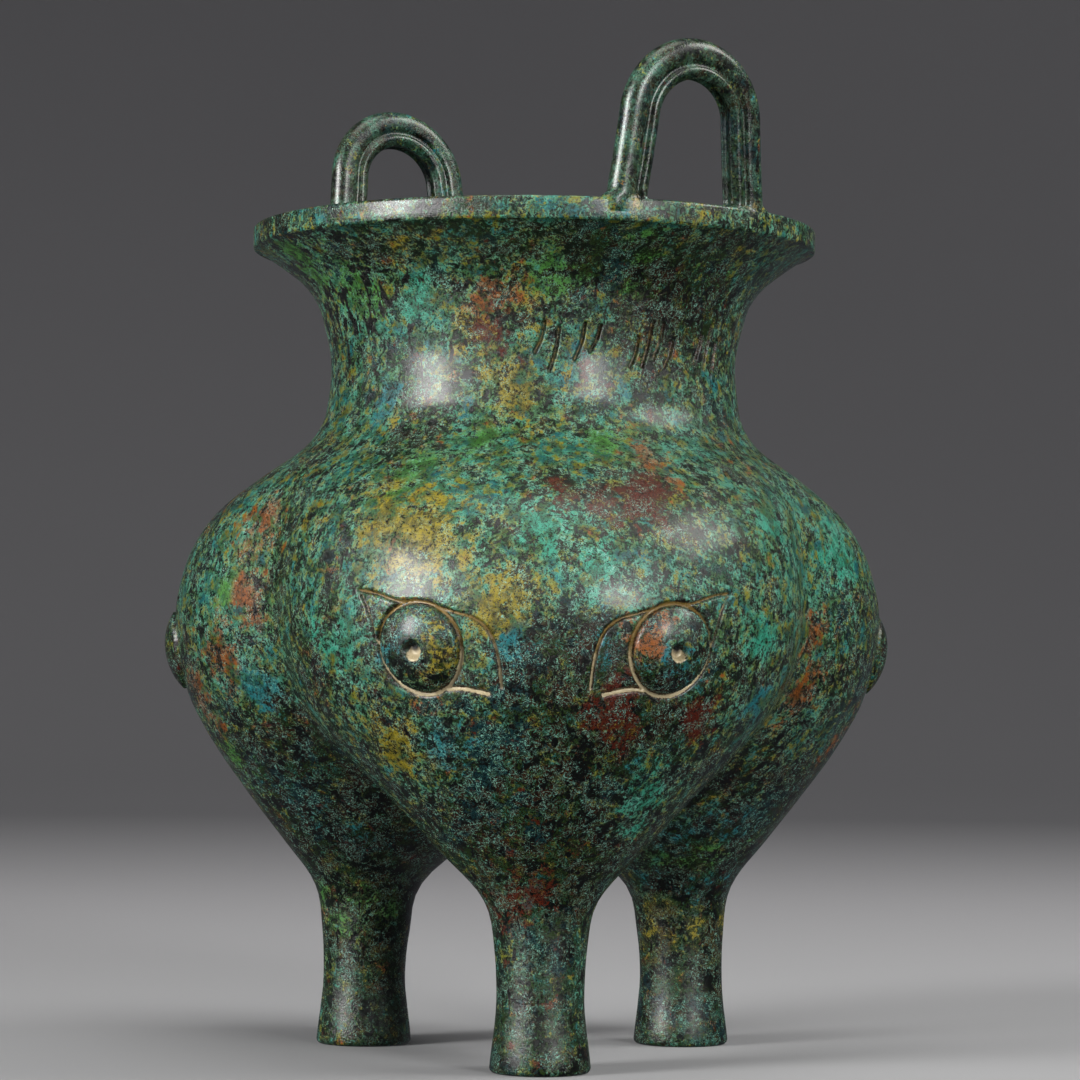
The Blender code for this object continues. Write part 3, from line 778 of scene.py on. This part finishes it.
def markSurface(outer):  # what the patina and the painted shade follow, as values at the points
    points = np.empty(3 * len(vessel.data.vertices))
    vessel.data.vertices.foreach_get("co", points)
    points = points.reshape(-1, 3) - np.array([mouthAxis.x, mouthAxis.y, 0])
    outside = (softGap(outer, points) > -0.0012) & (points[:, 2] < lipBase)
    carved, cream, pit, hole, boss = np.zeros((5, len(points)))
    for inside, u, v in eyePlaces(outer, points):
        inside = inside & outside
        u, v = u[inside], v[inside]
        carved[inside] = eyeLines(u, v)
        cream[inside] = np.clip(0.5 - v / ringRadius, 0, 1)
        pit[inside] = np.clip(1.7 - np.hypot(u, v + 0.0010) / 0.0013, 0, 1)
        hole[inside] = np.clip(1.6 - np.hypot(u, v - 0.0003) / 0.0008, 0, 1)
        boss[inside] = np.hypot(u, v) < eyes["bossRadius"]
    offset = circleAt(outer, points[:, 2])[0]
    fold = np.clip(1 - foldGap(outer, points) / 0.006, 0, 1) * np.clip(offset / 0.006, 0, 1) * outside
    onRim = np.hypot(points[:, 0], points[:, 1]) > body["rimRadius"] - body["rimLand"]
    fromRoot = np.hypot(abs(points[:, 1]) - handleFoot, points[:, 2] - rimHeight) / 0.005
    high, lip, rim = 1000 * points[:, 2], 1000 * lipBase, 1000 * rimHeight
    # the cover is also lower towards the bottom and under the lip, which is partly painted shade
    coverAndShade = markPatches(points, outside) + np.interp(high, *zip(*bronze["growth"]))
    coverAndShade -= 0.4 * boss + 0.6 * (high > rim + 0.3)
    writeAttribute("coverAndShade", np.clip(coverAndShade, -1, 1))
    drips = np.exp(-((roundFrom(points, 58) / 26) ** 2) - ((high - 146) / 10) ** 2) * outside
    writeAttribute("drips", drips)
    # legs, lip and handles have calmer patterns
    calm = np.interp(high, (30, 45, lip - 0.3, lip, rim, rim + 0.6), (0.4, 0, 0, 0.5, 0.5, 1))
    writeAttribute("calm", calm)
    writeAttribute("carved", carved)
    writeAttribute("cream", cream)
    writeAttribute("pit", pit)
    writeAttribute("hole", hole)
    writeAttribute("strokes", strokeLines(points) * outside)
    writeAttribute("fold", fold)
    writeAttribute("deposit", np.clip(1.3 - fromRoot, 0, 1) * onRim)


def makeBronze():
    material, tree, shader = newMaterial("patinated bronze")
    place = add(tree, "TexCoord", {}, {}, "Object")
    patterns = {}
    for name, (size, shift, detail, rough, warp) in bronze["patterns"].items():
        moved = add(tree, "VectorMath", {"operation": "ADD"}, {0: place, 1: (shift, shift * 2, -shift)})
        inputs = {"Vector": moved, "Scale": 1000 / size, "Detail": detail, "Roughness": rough, "Distortion": warp}
        patterns[name] = add(tree, "TexNoise", {}, inputs)
    for name in ("tinted", "coverAndShade", "red", "drips", "carved", "cream", "pit", "hole", "strokes", "fold",
                 "deposit", "calm"):
        patterns[name] = add(tree, "Attribute", {"attribute_name": name}, {}, "Fac")

    def total(weights):  # patterns added up by weight
        value = None
        for name, weight in weights.items():
            part = add(tree, "Math", {"operation": "MULTIPLY"}, {0: patterns[name], 1: weight})
            value = part if value is None else add(tree, "Math", {"operation": "ADD"}, {0: value, 1: part})
        return value

    def where(weights, low, high, top=1.0):  # grows from nothing to the top as the patterns pass from low to high
        inputs = {"Value": total(weights), "From Min": low, "From Max": high, "To Min": 0.0, "To Max": top}
        return add(tree, "MapRange", {"interpolation_type": "SMOOTHSTEP"}, inputs)

    def coats(under, *layers):  # lays each colour over the ones before it, by its share
        for over, share in layers:
            under = add(tree, "MixRGB", {}, {"Fac": share, "Color1": under, "Color2": over})
        return under

    # the dark, waxed skin of the metal
    dark = coats(
        colours["black"],
        (colours["brown"], where({"patch2": 0.6, "blotch": 0.4}, 0.46, 0.52)),
        (colours["blue"], where({"region2": 0.3, "patch3": 0.4, "blotch2": 0.3}, 0.52, 0.55)),
        (colours["moss"], where({"patch": 0.5, "blotch2": 0.5}, 0.51, 0.55)),
        (colours["red"], where({"red": 0.28, "patch3": 0.6, "blotch2": 0.6}, 0.69, 0.74)),
    )

    # what has grown on it
    growth = coats(
        colours["green"],
        (colours["turquoise"], where({"region": 0.4, "patch2": 0.6}, 0.44, 0.53)),
        (colours["pale"], where({"grain": 1}, 0.48, 0.62, 0.30)),
        (colours["grey"], where({"patch3": -0.5, "fleck": 0.8}, 0.18, 0.26, 0.5)),
        (colours["teal"], where({"patch": 0.6, "blotch2": 0.4}, 0.52, 0.59)),
        (colours["olive"], where({"patch3": 0.5, "blotch": 0.5}, 0.50, 0.57)),
        (colours["ochre"], where({"region2": -0.4, "patch2": 0.8, "blotch2": 0.4}, 0.49, 0.56)),
        (colours["rust"], where({"region": -0.4, "patch3": 0.8, "blotch": 0.4}, 0.53, 0.57)),
        (add(tree, "Attribute", {"attribute_name": "tint"}, {}, "Color"),
         where({"tinted": 0.44, "patch2": 0.9, "blotch2": 0.9}, 1.10, 1.24)),
    )
    thin = where({"patch2": 0.45, "blotch": 0.55}, 0.57, 0.45, 0.85)
    inputs = {"Fac": thin, "Color1": growth, "Color2": colours["thin"]}
    growth = add(tree, "MixRGB", {"blend_type": "MULTIPLY"}, inputs)

    # how thick it is: a thin film, and crisp crusts where there is most; legs, lip and handles keep a calm film
    # through the cover, painted shade thins the growth low down, on the legs and under the flare
    thickness = {"region": 0.30, "patch": 0.60, "coverAndShade": 0.18, "blotch": 0.90, "fleck": 0.55}
    patterns["crisp"] = where(thickness, 1.175, 1.215)
    calmFilm = {0: patterns["calm"], 1: where({"patch2": 1}, 0.38, 0.62, 0.5)}
    films = {0: where(thickness, 1.04, 1.24, 0.28), 1: add(tree, "Math", {"operation": "MULTIPLY"}, calmFilm)}
    patterns["film"] = add(tree, "Math", {"operation": "MAXIMUM"}, films)
    calmTone = coats(colours["moss"], (colours["grey"], where({"patch": 1}, 0.40, 0.60)))

    # pale lines as if worms had eaten them
    fromMiddle = add(tree, "Math", {"operation": "SUBTRACT"}, {0: patterns["worm"], 1: 0.5})
    patterns["lines"] = add(tree, "Math", {"operation": "ABSOLUTE"}, {0: fromMiddle})
    lively = add(tree, "MapRange", {}, {"Value": patterns["calm"], "To Min": 1.0, "To Max": 0.4})
    lineShare = lively
    for share in (where({"lines": 1}, 0.030, 0.012), where({"patch2": 0.5, "blotch": 0.5}, 0.45, 0.51, 0.95)):
        lineShare = add(tree, "Math", {"operation": "MULTIPLY"}, {0: lineShare, 1: share})

    # dark spots under the rim, drawn out downwards
    stretched = add(tree, "VectorMath", {"operation": "MULTIPLY"}, {0: place, 1: (1, 1, bronze["dripStretch"])})
    inputs = {"Vector": stretched, "Scale": 1000 / bronze["drip"], "Detail": 2.0, "Distortion": 0.3}
    patterns["spots"] = add(tree, "TexNoise", {}, inputs)
    patterns["spots"] = where({"spots": 1, "drips": 0.16}, 0.66, 0.72)

    # light earth left in the carving, folds and roots of the handles
    paleEarth = where({"blotch": 1, "cream": 0.5, "pit": 0.3, "deposit": 0.1}, 0.60, 0.95)
    earth = coats(colours["tan"], (colours["cream"], paleEarth))
    earthPlaces = {"carved": 0.70, "cream": 0.04, "pit": 0.8, "deposit": 0.45, "fold": 0.34, "strokes": 0.50,
                   "blotch": 0.7, "fleck": 0.4}

    skin = coats(
        dark,
        (coats(growth, (calmTone, patterns["calm"])), patterns["film"]),
        (growth, patterns["crisp"]),
        (coats(colours["pale"], (growth, where({"patch": 1}, 0.42, 0.58))), lineShare),
        (colours["black"], where({"fleck": 0.5, "grain": 0.5}, 0.50, 0.415, 0.95)),
        (colours["brown"], where({"spots": 1}, 0.1, 0.5, 0.7)),
        (colours["black"], where({"spots": 1}, 0.4, 0.8)),
        # brown along the carved lines and the strokes paints the shade in their grooves
        (colours["brown"], where({"carved": 1, "blotch": 0.4}, 0.25, 0.55, 0.5)),
        (colours["brown"], where({"strokes": 1}, 0.1, 0.6, 0.6)),
        (earth, where(earthPlaces, 0.98, 1.18)),
        # black in the small hole in each pit paints the shade inside it
        (colours["black"], patterns["hole"]),
    )
    tree.links.new(skin, shader.inputs["Base Color"])
    tree.links.new(where({"crisp": 1}, 1.0, 0.0, 0.10), shader.inputs["Metallic"])
    rough = {0: total({"crisp": 0.10, "fleck": 0.20, "calm": 0.08}), 1: 0.10}
    tree.links.new(add(tree, "Math", {"operation": "ADD"}, rough), shader.inputs["Roughness"])
    shader.inputs["Specular IOR Level"].default_value = 0.28
    shader.inputs["Coat Weight"].default_value = 0.22
    shader.inputs["Coat Roughness"].default_value = 0.20
    height = total({"crisp": 0.04, "film": 0.03, "blotch": 0.12, "fleck": 0.17, "grain": 0.09, "patch": 0.22})
    bump = add(tree, "Bump", {}, {"Strength": lively, "Distance": 0.001, "Height": height})
    tree.links.new(bump, shader.inputs["Normal"])
    return material


markSurface(outer)
vessel.data.materials.clear()
vessel.data.materials.append(makeBronze())
print("bronze made")

# A pale sweep all round, and the soft lights
studio = {
    "floor": 1.3,
    "bend": 1.0,
    "top": 2.6,
    "shade": "#8e8f92",
    "farShade": "#98989c",
    "paleTo": 0.10,
    "greyFrom": 0.60,
    "world": "#4a4a4e",
    "light": (1.0, 0.98, 0.94),
    "sheen": (0.97, 0.95, 1.0),
    "spread": 130,
    "aim": 0.10,  # height that the lights point at
    # how far round from the camera (degrees, minus is to the picture's left), elevation, distance, width and
    # height (m), power (W), and whether it only shines in the gloss
    "lights": (
        (-57, 18, 1.1, 0.30, 0.50, 7.4, False),
        (-55, 20, 1.12, 0.70, 0.56, 8.0, True),
        (33, 17, 1.2, 0.28, 0.38, 4.4, False),
        (36, 21, 1.22, 0.70, 0.56, 4.0, True),
        (88, 42, 1.2, 0.60, 0.50, 5.6, False),
        (10, 82, 1.2, 0.80, 0.80, 3.8, False),
    ),
}


def makeStudio():
    knots = [(0, 0), (studio["floor"], 0)]
    for turn in np.radians(np.arange(10, 91, 10)):
        knots.append((studio["floor"] + studio["bend"] * math.sin(turn), studio["bend"] * (1 - math.cos(turn))))
    knots.append((studio["floor"] + studio["bend"], studio["top"]))
    form = bmesh.new()
    line = [form.verts.new((x, 0, z)) for x, z in knots]
    edges = [form.edges.new(pair) for pair in zip(line, line[1:])]
    bmesh.ops.spin(form, geom=line + edges, cent=(0, 0, 0), axis=(0, 0, 1), angle=2 * math.pi, steps=96,
                   use_merge=True)
    bmesh.ops.remove_doubles(form, verts=form.verts, dist=1e-5)
    bmesh.ops.recalc_face_normals(form, faces=form.faces)
    bmesh.ops.reverse_faces(form, faces=form.faces)
    sweep = objectOf("sweep", form)
    sweep.data.shade_smooth()
    # painted board, matt enough to show only its shade
    material, tree, shader = newMaterial("pale painted board")
    away = add(tree, "VectorMath", {"operation": "LENGTH"}, {0: add(tree, "TexCoord", {}, {}, "Object")}, "Value")
    inputs = {"Value": away, "From Min": studio["paleTo"], "From Max": studio["greyFrom"]}
    far = add(tree, "MapRange", {"interpolation_type": "SMOOTHSTEP"}, inputs)
    shades = {"Fac": far, "Color1": linear(studio["shade"]), "Color2": linear(studio["farShade"])}
    tree.links.new(add(tree, "MixRGB", {}, shades), shader.inputs["Base Color"])
    shader.inputs["Roughness"].default_value = 0.8
    sweep.data.materials.append(material)
    sweep.visible_glossy = False  # the gloss shows a dim room
    world = bpy.data.worlds.new("studio")
    world.use_nodes = True
    world.node_tree.nodes["Background"].inputs["Color"].default_value = linear(studio["world"])
    bpy.context.scene.world = world
    for aside, up, distance, width, height, power, glossOnly in studio["lights"]:
        data = bpy.data.lights.new("softbox", "AREA")
        data.shape, data.size, data.size_y, data.energy = "RECTANGLE", width, height, power
        data.spread = math.radians(studio["spread"])
        data.color = studio["sheen" if glossOnly else "light"]
        lamp = bpy.data.objects.new("softbox", data)
        bpy.context.scene.collection.objects.link(lamp)
        turn, tip = viewAngle + math.radians(aside), math.radians(up)
        back = Vector((math.cos(turn) * math.cos(tip), math.sin(turn) * math.cos(tip), math.sin(tip)))
        lamp.location = Vector((mouthAxis.x, mouthAxis.y, studio["aim"])) + distance * back
        lamp.rotation_mode = "QUATERNION"
        lamp.rotation_quaternion = (-back).to_track_quat("-Z", "Y")
        lamp.visible_camera = False
        lamp.visible_diffuse = not glossOnly


makeStudio()
print("studio lit with", len(studio["lights"]), "soft lights")

# Camera as the photograph was taken: low, close to the belly's height and looking slightly up
camera = {
    "distance": 0.72,
    "height": 0.0728,
    "lens": 120,
    "sensor": 36,
    "pitch": math.atan(146 / 3600),  # pixels over the focal length in pixels
    "yaw": math.atan(-8 / 3600),
    "roll": math.radians(-0.45),
}


def makeCamera():
    data = bpy.data.cameras.new("camera")
    data.lens = camera["lens"]
    data.sensor_width = camera["sensor"]
    item = bpy.data.objects.new("camera", data)
    bpy.context.scene.collection.objects.link(item)
    toCamera = Vector((math.cos(viewAngle), math.sin(viewAngle), 0))
    forward = Matrix.Rotation(camera["yaw"], 3, "Z") @ -toCamera
    right = forward.cross(Vector((0, 0, 1)))
    forward = Matrix.Rotation(camera["pitch"], 3, right) @ forward
    turned = Matrix((right, right.cross(forward), -forward)).transposed()
    turned = Matrix.Rotation(camera["roll"], 3, forward) @ turned
    stand = Vector((mouthAxis.x, mouthAxis.y, camera["height"])) + camera["distance"] * toCamera
    item.matrix_world = Matrix.Translation(stand) @ turned.to_4x4()
    bpy.context.scene.camera = item


makeCamera()
bpy.context.scene.view_settings.view_transform = "Standard"
print("camera placed")
